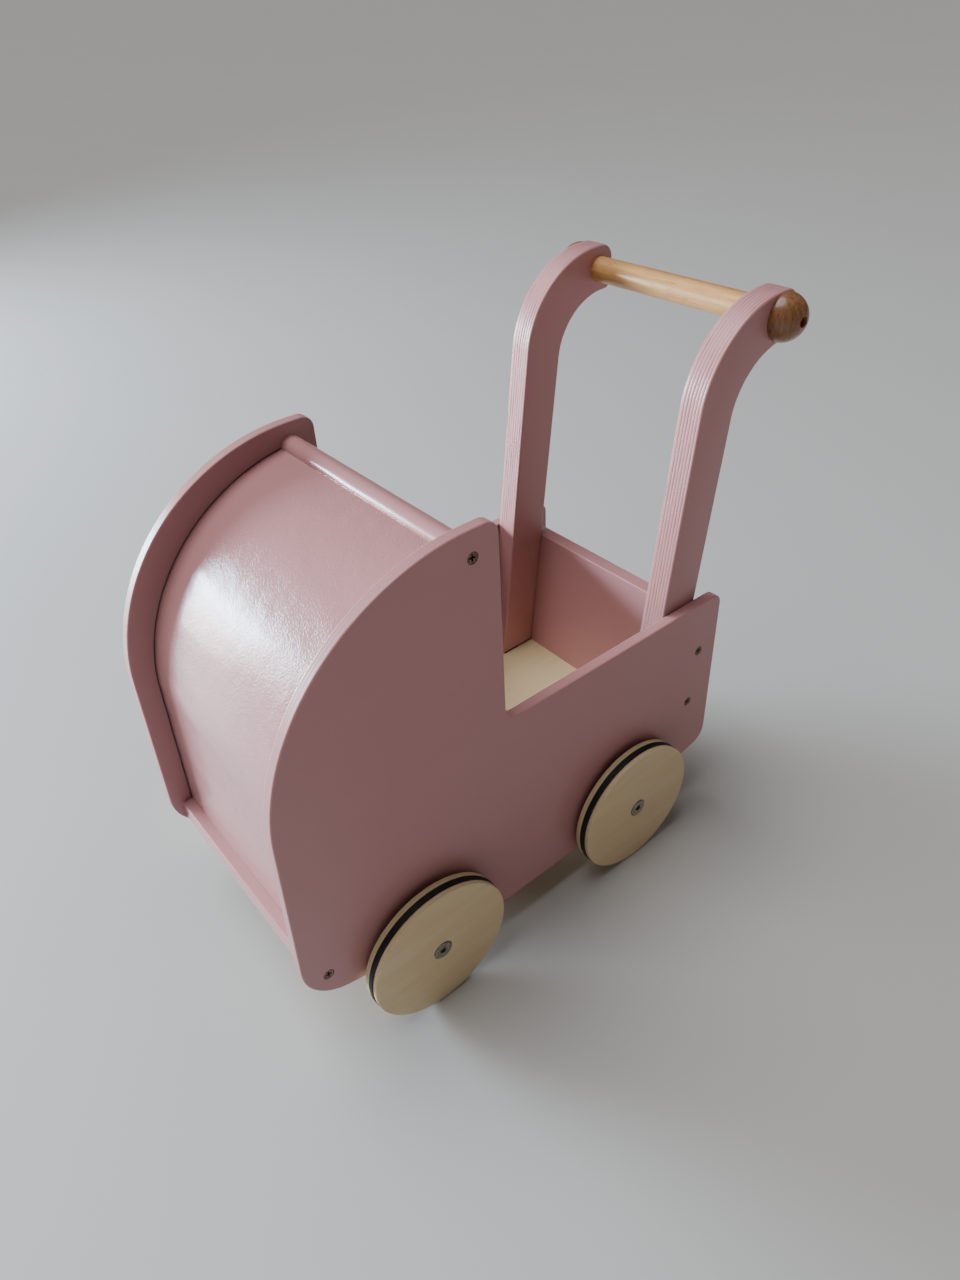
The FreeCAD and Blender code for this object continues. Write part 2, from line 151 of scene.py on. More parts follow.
def turned(profile, centre, steps, sign=1, wobble=0.0):
    """Surface of revolution about the X line through the centre.

    Each point (s, r) of the profile is turned through every angle a, at x = sign * s and at the
    radius r + wobble * (sin(3a + 90s) + sin(2a - 47s) sin(61s)), uneven as hand-sanded wood is.
    """
    profile = np.asarray(profile, float)
    angle = np.arange(steps) * FULL_TURN / steps
    along, radius = profile[:, :1], profile[:, 1:]
    ripple = np.sin(3 * angle + 90 * along) + np.sin(2 * angle - 47 * along) * np.sin(61 * along)
    return around_x(along, radius + wobble * ripple, angle, centre, sign)


def arc(centre, radius, start, end, count):
    """Points on a circle in a plane, from one angle in degrees to another."""
    angle = np.radians(np.linspace(start, end, count))
    return np.stack([centre[0] + radius * np.cos(angle), centre[1] + radius * np.sin(angle)], -1)


def turn_bar(name, node, material, sections, wobble, end_swell=0.0, sanded=0.0):
    """Adds a round bar along X for a node.

    At the distance d from its nearer end the radius is the node's, less what is sanded off, plus
    end_swell * exp(-d / 0.8 mm), where paint gathers at the ends.
    """
    low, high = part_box(node)
    centre, radius = round_box(node)[:2]
    along = np.linspace(low.x, high.x, sections)
    from_end = np.minimum(along - low.x, high.x - along)
    swell = end_swell * np.exp(-from_end / (0.8 * MM))
    profile = np.stack([along, radius - sanded + swell], -1)
    add_piece(name, [turned(profile, centre, 96, wobble=wobble)], BODY, material, node)


def rounded_path(corners, step):
    """Closed outline through (y, z, radius) corners, as evenly spaced points and outward normals.

    Each corner is rounded by the arc that is tangent to its two straight runs. The normal is the
    run's direction turned by a right angle.
    """
    spots = np.array([corner[:2] for corner in corners], float)
    radii = np.array([corner[2] for corner in corners], float)[:, None]
    before = np.roll(spots, 1, axis=0) - spots
    after = np.roll(spots, -1, axis=0) - spots
    before /= np.linalg.norm(before, axis=1, keepdims=True)
    after /= np.linalg.norm(after, axis=1, keepdims=True)
    half = np.arccos(np.clip((before * after).sum(1, keepdims=True), -1, 1)) / 2
    middle = before + after
    middle /= np.linalg.norm(middle, axis=1, keepdims=True)
    hubs = spots + middle * radii / np.sin(half)
    starts = spots + before * radii / np.tan(half) - hubs
    ends = spots + after * radii / np.tan(half) - hubs
    points = []
    for index, hub in enumerate(hubs):
        first = math.atan2(starts[index, 1], starts[index, 0])
        last = math.atan2(ends[index, 1], ends[index, 0])
        turn = (last - first + math.pi) % FULL_TURN - math.pi
        radius = radii[index, 0]
        count = max(4, int(abs(turn) * radius / step))
        points.append(arc(hub, radius, math.degrees(first), math.degrees(first + turn), count + 1))
        leave = points[-1][-1]
        following = (index + 1) % len(hubs)
        arrive = hubs[following] + starts[following]
        count = max(1, int(np.linalg.norm(arrive - leave) / step))
        points.append(leave + (arrive - leave) * (np.arange(1, count) / count)[:, None])
    points = np.vstack(points)
    heading = np.roll(points, -1, axis=0) - np.roll(points, 1, axis=0)
    heading /= np.linalg.norm(heading, axis=1, keepdims=True)
    y, z = points.T
    area = np.sum(y * np.roll(z, -1) - np.roll(y, -1) * z)
    normals = np.stack([heading[:, 1], -heading[:, 0]], -1) * np.sign(area)
    return points, normals


def smooth_noise(values, seed):
    """Gentle repeatable variation from 0 to 1: a mean of sine waves of unrelated lengths."""
    stretches = ((1.0, 1.0), (2.31, 1.7), (4.13, 2.9))
    waves = sum(np.sin(stretch * values + shift * seed) for stretch, shift in stretches)
    return 0.5 + waves / (2 * len(stretches))


# ---- Sizes and colours ----
def length(name, text, millimetres):
    return FloatProperty(name=name, description=text, default=millimetres * MM, unit="LENGTH",
                         precision=5)


def angle_of(name, text, degrees):
    return FloatProperty(name=name, description=text, default=math.radians(degrees), subtype="ANGLE")


def share(name, text, default):
    return FloatProperty(name=name, description=text, default=default, min=0, max=1, subtype="FACTOR")


def strength(name, text, default):
    return FloatProperty(name=name, description=text, default=default, min=0)


def colour(name, text, default):
    return FloatVectorProperty(name=name, description=text, default=default, min=0, max=1,
                               subtype="COLOR")


def vector(name, text, default):
    return FloatVectorProperty(name=name, description=text, default=default, precision=5, subtype="XYZ")


class PramPaint(bpy.types.PropertyGroup):
    pink: colour("Pink", "Body colour of the paint", (0.690, 0.315, 0.315))
    bounce: colour("Bounce", "Colour that the paint throws on to its surroundings", (0.16, 0.11, 0.12))
    calm: share("Calm", "How far the thrown colour replaces the paint's own", 0.85)
    gloss_roughness: share("Gloss roughness", "Roughness of the sprayed hood, rod and bar", 0.24)
    satin_roughness: share("Satin roughness", "Roughness of the rolled panels and uprights", 0.36)
    peel_size: length("Peel size", "Distance between bumps in the paint's skin", 1.3)
    layer_pitch: length("Layer pitch", "Distance between the plywood lines that show through", 2.7)


class PramHood(bpy.types.PropertyGroup):
    bend_radius: length("Bend radius", "Outer radius of the bent sheet", 156.6)
    below_top: length("Below top", "Top of the sheet below the panels' top", 16.5)
    lean: angle_of("Lean", "Lean of the sheet's straight front", 2.1)
    thickness: length("Thickness", "Thickness of the sheet", 3.0)
    rod_entry: length("Rod entry", "How far the sheet's rear edge stops short of the rod's centre", 5.5)
    unevenness: length("Unevenness", "How far the sheet waves in and out", 0.16)
    wave_up: length("Wave up", "Length of the waves up the sheet", 21)
    wave_across: length("Wave across", "Length of the waves across the sheet", 26)


class PramHandle(bpy.types.PropertyGroup):
    lean: angle_of("Lean", "Lean of the uprights", 7.56)
    width: length("Width", "Width of the uprights seen from the side", 36.0)
    bend_radius: length("Bend radius", "Inside of the bend", 51.0)
    crown_radius: length("Crown radius", "Outside of the bend", 78.0)
    tip: length("Tip", "Reach of the uprights past the rod's centre", 15.5)
    tip_round: length("Tip round", "Rounding of the top of the uprights' tips", 12.0)
    chin_round: length("Chin round", "Rounding under the uprights' tips", 8.0)
    foot_round: length("Foot round", "Rounding of the uprights' lower ends", 0.5)
    edge_round: length("Edge round", "Rounding of the uprights' edges", 1.8)
    line_depth: length("Line depth", "Depth of the plywood lines in the uprights' edges", 0.30)
    line_width: length("Line width", "Half width of each plywood line", 0.38)
    hole_radius: length("Hole radius", "Radius of the screw hole in each half ball", 3.5)
    hole_depth: length("Hole depth", "Depth of the screw hole to the screw's face", 7.0)
    hole_bevel: length("Hole bevel", "Bevel at the mouth of the screw hole", 0.5)


class PramWheel(bpy.types.PropertyGroup):
    lip: length("Outer lip", "Wood outside the rubber band", 4.0)
    groove: length("Groove", "Width of the rubber band's groove", 5.6)
    groove_depth: length("Groove depth", "Depth of the groove below the wooden rim", 4.0)
    rim_round: length("Rim round", "Rounding of the wooden rim's edges", 1.1)
    nib: length("Nib", "Bevel of the edges of the groove, the recess and the bore", 0.3)
    ridge: length("Ridge", "Height of the plywood layers' ridges on the rim", 0.05)
    ridge_pitch: length("Ridge pitch", "Distance between the ridges on the rim", 1.4)
    band_crown: length("Band crown", "Rounding of the rubber band's shoulders", 1.4)
    band_dip: length("Band dip", "Depth of the dip along the band's middle", 0.06)
    bore: length("Bore", "Radius of the hole for the bush", 6.03)
    seat_radius: length("Seat radius", "Radius of the recess round the bolt's head", 8.1)
    seat_depth: length("Seat depth", "Depth of the recess for the bolt's head", 2.0)


class PramFixings(bpy.types.PropertyGroup):
    screw_head: length("Screw head", "Radius of the panel screws' heads", 4.3)
    screw_cone: length("Screw cone", "Depth of the screws' heads", 2.6)
    screw_shank: length("Screw shank", "Radius of the screws' shanks", 2.1)
    screw_length: length("Screw length", "Length of the screws", 40.0)
    screw_point: length("Screw point", "Length of the screws' points", 4.0)
    recess_span: length("Recess span", "Tip to tip of the screws' cross recess", 4.9)
    recess_arm: length("Recess arm", "Width of the arms of the cross recess", 1.25)
    recess_depth: length("Recess depth", "Depth of the cross recess", 1.7)
    bolt_head: length("Bolt head", "Thickness of the bolts' heads", 2.2)
    bolt_edge: length("Bolt edge", "Rounding of the bolts' heads", 0.55)
    bolt_socket: length("Bolt socket", "Width across the flats of the bolts' sockets", 5.0)
    bolt_shank: length("Bolt shank", "Radius of the bolts in the wheels", 4.0)
    bolt_thread: length("Bolt thread", "Radius of the bolts in the body", 3.0)
    bolt_reach: length("Bolt reach", "Length of the bolts inside the side panels", 16.0)


class PramStage(bpy.types.PropertyGroup):
    floor_colour: colour("Floor colour", "Colour of the plain floor", (0.60, 0.575, 0.55))
    floor_cloud: colour("Floor cloud", "Colour of the floor's faint clouds", (0.45, 0.43, 0.40))
    floor_roughness: share("Floor roughness", "Roughness of the floor", 0.42)
    window_power: strength("Window power", "Watts of the window for each metre of its height", 200.0)
    window_place: vector("Window place", "Foot of the window's middle", (-2.25, -1.30, 0.0))
    window_width: length("Window width", "Width of the window", 1150.0)
    sky_strength: strength("Sky strength", "Strength of the soft light overhead", 2.35)
    sky_width: angle_of("Sky width", "Angle across the soft light overhead", 44)
    sky_heading: vector("Sky heading", "Way that the light overhead shines", (0.6, 0.6, -2.4))
    sky_colour: colour("Sky colour", "Colour of the soft light overhead", (0.93, 0.97, 1.0))
    room_level: strength("Room level", "Strength of the light all round", 0.080)
    room_colour: colour("Room colour", "Colour of the light all round", (1.0, 0.90, 0.84))
    lens: FloatProperty(name="Lens", description="Focal length of the camera", default=25.563,
                        unit="CAMERA")
    camera_place: vector("Camera place", "Where the camera stands", (0.46742, -0.34288, 0.64888))
    camera_turn: FloatVectorProperty(
        name="Camera turn", description="Turn of the camera about X, Y and Z", subtype="EULER",
        default=[math.radians(degrees) for degrees in (52.5837, 2.7514, 50.6298)])


# ---- Material helpers ----
def fill_inputs(tree, node, inputs):
    """Links each input to the socket given for it, or sets it to the value."""
    for name, value in inputs.items():
        if isinstance(value, bpy.types.NodeSocket):
            tree.links.new(value, node.inputs[name])
        else:
            node.inputs[name].default_value = value


def add_node(tree, kind, inputs=None, **settings):
    """Adds a node, sets its settings and fills its inputs."""
    node = tree.nodes.new(kind)
    for name, value in settings.items():
        setattr(node, name, value)
    fill_inputs(tree, node, inputs or {})
    return node


def maths(tree, operation, first, second=0.0, third=0.0):
    node = add_node(tree, "ShaderNodeMath", {0: first, 1: second, 2: third}, operation=operation)
    return node.outputs[0]


def plus(tree, first, second):
    return maths(tree, "ADD", first, second)


def times(tree, first, second):
    return maths(tree, "MULTIPLY", first, second)


def noise(tree, position, scale, detail=2.0, roughness=0.5):
    inputs = {"Vector": position, "Scale": scale, "Detail": detail, "Roughness": roughness}
    return add_node(tree, "ShaderNodeTexNoise", inputs).outputs["Fac"]


def blend_colours(tree, factor, first, second, mode="MIX"):
    def opaque(value):
        return value if isinstance(value, bpy.types.NodeSocket) else (*value, 1)

    inputs = {"Factor": factor, 6: opaque(first), 7: opaque(second)}
    return add_node(tree, "ShaderNodeMix", inputs, data_type="RGBA", blend_type=mode).outputs[2]


def map_range(tree, value, low, high, to_low=0.0, to_high=1.0):
    inputs = {"Value": value, "From Min": low, "From Max": high, "To Min": to_low, "To Max": to_high}
    return add_node(tree, "ShaderNodeMapRange", inputs, clamp=True).outputs["Result"]


def x_of(tree, vector):
    return add_node(tree, "ShaderNodeSeparateXYZ", {0: vector}).outputs["X"]


def stretched(tree, position, scale, turn):
    """The position turned and then squeezed along the axes, so that a noise runs along the grain."""
    inputs = {"Vector": position, "Rotation": turn, "Scale": scale}
    return add_node(tree, "ShaderNodeMapping", inputs).outputs["Vector"]


def start_group(name, inputs, outputs):
    """An empty shader group. Returns its tree, the sockets it is given and its output node."""
    tree = bpy.data.node_groups.new(name, "ShaderNodeTree")
    for label, kind, default in inputs:
        socket = tree.interface.new_socket(name=label, in_out="INPUT", socket_type="NodeSocket" + kind)
        if default is not None:
            socket.default_value = default
    for label, kind in outputs:
        tree.interface.new_socket(name=label, in_out="OUTPUT", socket_type="NodeSocket" + kind)
    return tree, tree.nodes.new("NodeGroupInput").outputs, tree.nodes.new("NodeGroupOutput")


def paint_skin_group():
    """Sprayed or rolled paint: fine peel, slow waves, faint clouding and a few specks of dust."""
    tree, given, out = start_group(
        "Paint skin",
        [("Position", "Vector", None), ("Paint", "Color", (0.6, 0.3, 0.3, 1)),
         ("Peel Size", "Float", 1.5), ("Peel Height", "Float", 0.02), ("Base Roughness", "Float", 0.3)],
        [("Colour", "Color"), ("Roughness", "Float"), ("Height", "Float")])
    position = given["Position"]
    peel_scale = maths(tree, "DIVIDE", 1000.0, given["Peel Size"])
    peel = noise(tree, position, peel_scale, 1.5, 0.45)
    slow = noise(tree, position, times(tree, peel_scale, 0.09))
    clouds = noise(tree, position, 9.0, 3.0, 0.55)
    cells = add_node(tree, "ShaderNodeTexVoronoi", {"Vector": position, "Scale": 130.0})
    specks = map_range(tree, cells.outputs["Distance"], 0.035, 0.075, 1.0, 0.0)
    specks = times(tree, specks, map_range(tree, noise(tree, position, 40.0, 0.0), 0.60, 0.66))
    cloud_colour = (0.50, 0.25, 0.26)
    dust_colour = (0.80, 0.66, 0.66)
    clouding = map_range(tree, clouds, 0.3, 0.7, 0.0, 0.10)
    tone = blend_colours(tree, clouding, given["Paint"], cloud_colour)
    tone = blend_colours(tree, times(tree, specks, 0.35), tone, dust_colour)
    height = times(tree, peel, given["Peel Height"])
    slow_height = times(tree, slow, times(tree, given["Peel Height"], 2.2))
    height = maths(tree, "MULTIPLY_ADD", specks, 0.03, plus(tree, height, slow_height))
    rough = plus(tree, given["Base Roughness"], map_range(tree, clouds, 0.3, 0.7, -0.03, 0.05))
    fill_inputs(tree, out, {"Colour": tone, "Roughness": rough, "Height": height})
    return tree


def ply_lines_group():
    """Lines of the plywood's layers on edges that face away from X, as height in millimetres."""
    tree, given, out = start_group(
        "Ply lines",
        [("Position", "Vector", None), ("Pitch", "Float", 2.7), ("Depth", "Float", 0.06)],
        [("Height", "Float"), ("Rim", "Float"), ("Layer", "Float")])
    layer = maths(tree, "DIVIDE", x_of(tree, given["Position"]), given["Pitch"])
    phase = times(tree, layer, 1000 * FULL_TURN)
    drift = noise(tree, given["Position"], 35.0)
    wave = maths(tree, "SINE", maths(tree, "MULTIPLY_ADD", drift, 1.2, phase))
    lines = map_range(tree, wave, 0.35, 1.0)
    normal = add_node(tree, "ShaderNodeNewGeometry").outputs["Normal"]
    facing = maths(tree, "ABSOLUTE", x_of(tree, normal))
    rim = map_range(tree, facing, 0.35, 0.75, 1.0, 0.0)
    fading = map_range(tree, noise(tree, given["Position"], 60.0), 0.35, 0.65, 0.35, 1.0)
    height = times(tree, times(tree, lines, fading), given["Depth"])
    height = times(tree, times(tree, height, rim), -1.0)
    fill_inputs(tree, out, {"Height": height, "Rim": rim, "Layer": map_range(tree, wave, -0.3, 0.3)})
    return tree


def wood_grain_group():
    """Fine-pored pale wood: long streaks, slow figure and short dark flecks, which are open pores."""
    tree, given, out = start_group(
        "Wood grain",
        [("Along Grain", "Vector", None), ("Pale", "Color", (0.7, 0.5, 0.3, 1)),
         ("Dark", "Color", (0.5, 0.3, 0.2, 1)), ("Streak Scale", "Float", 400.0),
         ("Fleck Amount", "Float", 0.3), ("Base Roughness", "Float", 0.4)],
        [("Colour", "Color"), ("Roughness", "Float"), ("Height", "Float")])
    position = given["Along Grain"]
    streak = given["Streak Scale"]
    fine = noise(tree, position, streak, 3.0, 0.6)
    broad = noise(tree, position, times(tree, streak, 0.13), 3.0, 0.6)
    flecks = noise(tree, position, times(tree, streak, 2.6), 1.0)
    flecks = times(tree, map_range(tree, flecks, 0.62, 0.74), given["Fleck Amount"])
    mix = maths(tree, "MULTIPLY_ADD", fine, 0.5, times(tree, broad, 0.5))
    mix = map_range(tree, mix, 0.34, 0.66)
    tone = blend_colours(tree, mix, given["Pale"], given["Dark"])
    tone = blend_colours(tree, flecks, tone, given["Dark"], "MULTIPLY")
    rough = plus(tree, given["Base Roughness"], map_range(tree, fine, 0.3, 0.7, -0.05, 0.08))
    height = maths(tree, "MULTIPLY_ADD", fine, 0.018, times(tree, flecks, -0.03))
    fill_inputs(tree, out, {"Colour": tone, "Roughness": rough, "Height": height})
    return tree


def wear_group():
    """Scuffs and rubbed spots: a mask made of blotches, more of them as the amount rises."""
    tree, given, out = start_group(
        "Wear", [("Position", "Vector", None), ("Scale", "Float", 300.0), ("Amount", "Float", 0.5)],
        [("Mask", "Float"), ("Height", "Float")])
    blotches = noise(tree, given["Position"], given["Scale"], 4.0, 0.65)
    edge = maths(tree, "SUBTRACT", 0.75, times(tree, given["Amount"], 0.4))
    mask = map_range(tree, maths(tree, "SUBTRACT", blotches, edge), 0.0, 0.08)
    fill_inputs(tree, out, {"Mask": mask, "Height": times(tree, mask, -0.02)})
    return tree


GROUPS = {"Paint skin": paint_skin_group, "Ply lines": ply_lines_group, "Wood grain": wood_grain_group,
          "Wear": wear_group}


def place_group(tree, name, inputs):
    """Places a shared group in a material, making the group on its first use."""
    group = bpy.data.node_groups.get(name) or GROUPS[name]()
    return add_node(tree, "ShaderNodeGroup", inputs, node_tree=group).outputs


# ---- Materials ----
def start_material(name):
    """A material with only its shader. Returns it, its tree, the shader and the object position."""
    made = bpy.data.materials.new(name)
    made.use_nodes = True
    tree = made.node_tree
    shader = tree.nodes["Principled BSDF"]
    position = add_node(tree, "ShaderNodeTexCoord").outputs["Object"]
    return made, tree, shader, position


def join_shader(tree, shader, tone, rough, height, settings):
    """Feeds the shader. Height is in millimetres."""
    bump = add_node(tree, "ShaderNodeBump", {"Height": height, "Distance": MM, "Strength": 1.0})
    fill_inputs(tree, shader, {"Base Color": tone, "Roughness": rough, "Normal": bump.outputs["Normal"],
                               **settings})


def made_once(make):
    """Wraps a material's function, so that it makes each name only the first time."""
    def find_or_make(name, *values, **settings):
        return bpy.data.materials.get(name) or make(name, *values, **settings)
    return find_or_make


@made_once
def paint_material(name, glossy, peel_height, coat, line_depth=0.0):
    """Pink paint, with plywood lines in its edges when they have a depth. Heights in millimetres."""
    look = bpy.context.scene.pram_paint
    made, tree, shader, position = start_material(name)
    skin = place_group(tree, "Paint skin", {
        "Position": position, "Paint": (*look.pink, 1), "Peel Size": look.peel_size / MM,
        "Peel Height": peel_height,
        "Base Roughness": look.gloss_roughness if glossy else look.satin_roughness})
    lines = place_group(tree, "Ply lines", {
        "Position": position, "Pitch": look.layer_pitch / MM, "Depth": line_depth})
    bounced = add_node(tree, "ShaderNodeLightPath").outputs["Is Diffuse Ray"]
    tone = blend_colours(tree, times(tree, bounced, look.calm), skin["Colour"], look.bounce)
    join_shader(tree, shader, tone, skin["Roughness"], plus(tree, skin["Height"], lines["Height"]),
                {"Coat Weight": coat, "Coat Roughness": 0.12, "Specular IOR Level": 0.5})
    return made


def panel_paint():
    return paint_material("panel_paint", glossy=False, peel_height=0.012, coat=0.15, line_depth=0.05)


def sheet_paint():
    return paint_material("sheet_paint", glossy=True, peel_height=0.22, coat=0.30)


def rod_paint():
    return paint_material("rod_paint", glossy=True, peel_height=0.012, coat=0.25)


def upright_paint():
    return paint_material("upright_paint", glossy=False, peel_height=0.014, coat=0.15)


@made_once
def wood_material(name, pale, dark, streak_scale, squeeze, flecks, roughness, coat,
                  turn=(0, 0, 0), layers=0.0):
    """Clear-varnished wood, with plywood layers on its rim when layers is above nought."""
    layer_pitch = 2.8
    layer_colour = (0.62, 0.45, 0.30)
    layer_strength = 0.30
    made, tree, shader, position = start_material(name)
    grain = place_group(tree, "Wood grain", {
        "Along Grain": stretched(tree, position, squeeze, turn), "Pale": (*pale, 1),
        "Dark": (*dark, 1), "Streak Scale": streak_scale, "Fleck Amount": flecks,
        "Base Roughness": roughness})
    tone = grain["Colour"]
    height = grain["Height"]
    if layers > 0:
        lines = place_group(tree, "Ply lines", {
            "Position": position, "Pitch": layer_pitch, "Depth": layers})
        shade = times(tree, times(tree, lines["Rim"], lines["Layer"]), layer_strength)
        tone = blend_colours(tree, shade, tone, layer_colour, "MULTIPLY")
        height = plus(tree, height, lines["Height"])
    join_shader(tree, shader, tone, grain["Roughness"], height,
                {"Coat Weight": coat, "Coat Roughness": 0.16, "Specular IOR Level": 0.45})
    return made


def beech_rod():
    return wood_material(
        "beech_rod", pale=(0.92, 0.50, 0.18), dark=(0.64, 0.29, 0.085), streak_scale=420.0,
        squeeze=(0.10, 1.0, 1.0), flecks=0.5, roughness=0.34, coat=0.32)


def dark_beech():
    return wood_material(
        "half_ball_beech", pale=(0.44, 0.200, 0.085), dark=(0.15, 0.055, 0.022), streak_scale=420.0,
        squeeze=(1.0, 1.0, 0.09), flecks=0.7, roughness=0.32, coat=0.35, turn=(0.22, 0.10, 0))


def birch_face(name, turn):
    return wood_material(
        name, pale=(0.98, 0.77, 0.46), dark=(0.91, 0.66, 0.36), streak_scale=120.0,
        squeeze=(1.0, 0.14, 1.0), flecks=0.12, roughness=0.50, coat=0.06, turn=(turn, 0, 0),
        layers=0.03)


def hidden_wood():
    return wood_material(
        "beam_wood", pale=(0.58, 0.42, 0.27), dark=(0.42, 0.28, 0.16), streak_scale=300.0,
        squeeze=(0.12, 1.0, 1.0), flecks=0.4, roughness=0.55, coat=0.0)


@made_once
def worn_metal(name, plated, bare, roughness):
    """Plated steel with rubbed and dulled blotches."""
    made, tree, shader, position = start_material(name)
    wear = place_group(tree, "Wear", {"Position": position, "Scale": 700.0, "Amount": 0.50})
    tone = blend_colours(tree, wear["Mask"], plated, bare)
    rough = maths(tree, "MULTIPLY_ADD", wear["Mask"], 0.18, roughness)
    join_shader(tree, shader, tone, rough, wear["Height"], {"Metallic": 1.0, "Specular IOR Level": 0.5})
    return made


def bolt_steel():
    return worn_metal("bolt_steel", plated=(0.30, 0.285, 0.23), bare=(0.62, 0.59, 0.50), roughness=0.36)


def screw_bronze():
    return worn_metal("screw_bronze", plated=(0.15, 0.105, 0.070), bare=(0.48, 0.38, 0.26), roughness=0.32)


@made_once
def dull_material(name, tone, bloom, roughness, scale, amount):
    """Rubber or nylon: an even colour, broken by faint bloom and fine pitting."""
    made, tree, shader, position = start_material(name)
    wear = place_group(tree, "Wear", {"Position": position, "Scale": scale, "Amount": amount})
    mixed = blend_colours(tree, times(tree, wear["Mask"], 0.5), tone, bloom)
    rough = maths(tree, "MULTIPLY_ADD", wear["Mask"], 0.12, roughness)
    pitting = times(tree, noise(tree, position, 1600.0), 0.012)
    height = plus(tree, wear["Height"], pitting)
    join_shader(tree, shader, mixed, rough, height, {"Specular IOR Level": 0.4})
    return made


def band_rubber():
    return dull_material("band_rubber", tone=(0.010, 0.011, 0.013), bloom=(0.035, 0.035, 0.036),
                         roughness=0.55, scale=240.0, amount=0.55)


def nylon():
    return dull_material("white_nylon", tone=(0.70, 0.67, 0.60), bloom=(0.55, 0.52, 0.45),
                         roughness=0.45, scale=300.0, amount=0.4)


# ---- Pieces ----
class PRAM_OT_body(bpy.types.Operator):
    """Finishes the panels, bar, floor, beams and small fixings that keep the frame's own shape"""
    bl_idname = "pram.body"
    bl_label = "Body"

    def execute(self, context):
        finish_nodes(panel_paint(), "side_panel_left", "side_panel_right", "rear_panel")
        finish_nodes(rod_paint(), "front_bar")
        finish_nodes(birch_face("birch_floor", 0.0), "floor_panel")
        finish_nodes(hidden_wood(), "axle_beam_front", "axle_beam_rear")
        finish_nodes(bolt_steel(), "threaded_inserts")
        finish_nodes(nylon(), "wheel_spacers", *["wheel_bush_" + wheel for wheel in WHEELS])
        finish_nodes(screw_bronze(), "upright_screws", "handle_cap_screws")
        return {"FINISHED"}


class PRAM_OT_hood(bpy.types.Operator):
    """Bends the hood sheet and turns the rod behind it"""
    bl_idname = "pram.hood"
    bl_label = "Hood"
    front_rows = 49
    bend_rows = 110
    columns = 90

    def execute(self, context):
        self.bend_sheet(context.scene.pram_hood)
        turn_bar("painted_hood_rod", "hood_rod", rod_paint(), sections=160,
                 wobble=0.03 * MM, end_swell=0.35 * MM)
        return {"FINISHED"}

    def bend_sheet(self, sizes):
        """A flat section carried up the straight front and round the bend.

        The path is the sheet's outer line: a straight run that leans by the given angle and the
        arc that is tangent to it. Each point stands off the path along its normal by the wave, on
        the outer face, or by the wave less the thickness, on the inner face. The wave is a smooth
        noise along the path, slanting a little, times one across the sheet.
        """
        low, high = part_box("hood_sheet")
        panel_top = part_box("side_panel_left")[1].z
        radius = sizes.bend_radius
        hub_z = panel_top - sizes.below_top - radius
        hub_y = low.y + radius / math.cos(sizes.lean) + (hub_z - low.z) * math.tan(sizes.lean)
        hub = np.array([hub_y, hub_z])
        stop_y = centre_of("hood_rod").y - sizes.rod_entry
        first = math.degrees(math.pi - sizes.lean)
        last = math.degrees(math.acos((stop_y - hub_y) / radius))
        bend = arc(hub, radius, first, last, self.bend_rows)
        foot = np.array([low.y, low.z])
        straight = foot + (bend[0] - foot) * np.linspace(0, 1, self.front_rows, endpoint=False)[:, None]
        path = np.vstack([straight, bend])
        front = np.array([[-math.cos(sizes.lean), math.sin(sizes.lean)]])
        normals = np.vstack([np.repeat(front, len(straight), 0), (bend - hub) / radius])
        steps = np.linalg.norm(np.diff(path, axis=0), axis=1)
        run = np.concatenate([[0], np.cumsum(steps)])[:, None]
        across = np.linspace(low.x, high.x, self.columns)
        slant = 9
        wave = smooth_noise(run / sizes.wave_up + slant * across, 1.3) - 0.5
        wave = wave * (smooth_noise(across / sizes.wave_across, 4.1) + 0.5)
        wave = 2 * sizes.unevenness * wave
        outer = self.lifted(path, normals, across, wave)
        inner = self.lifted(path, normals, across, wave - sizes.thickness)
        grid = np.concatenate([outer, inner[:, ::-1]], axis=1)
        add_piece("bent_hood_sheet", [grid], BODY, sheet_paint(), "hood_sheet")

    def lifted(self, path, normals, across, lift):
        """Grid of the path's points moved along their normals, at each distance across."""
        y = path[:, :1] + normals[:, :1] * lift
        z = path[:, 1:] + normals[:, 1:] * lift
        return np.stack([np.broadcast_to(across, y.shape), y, z], -1)


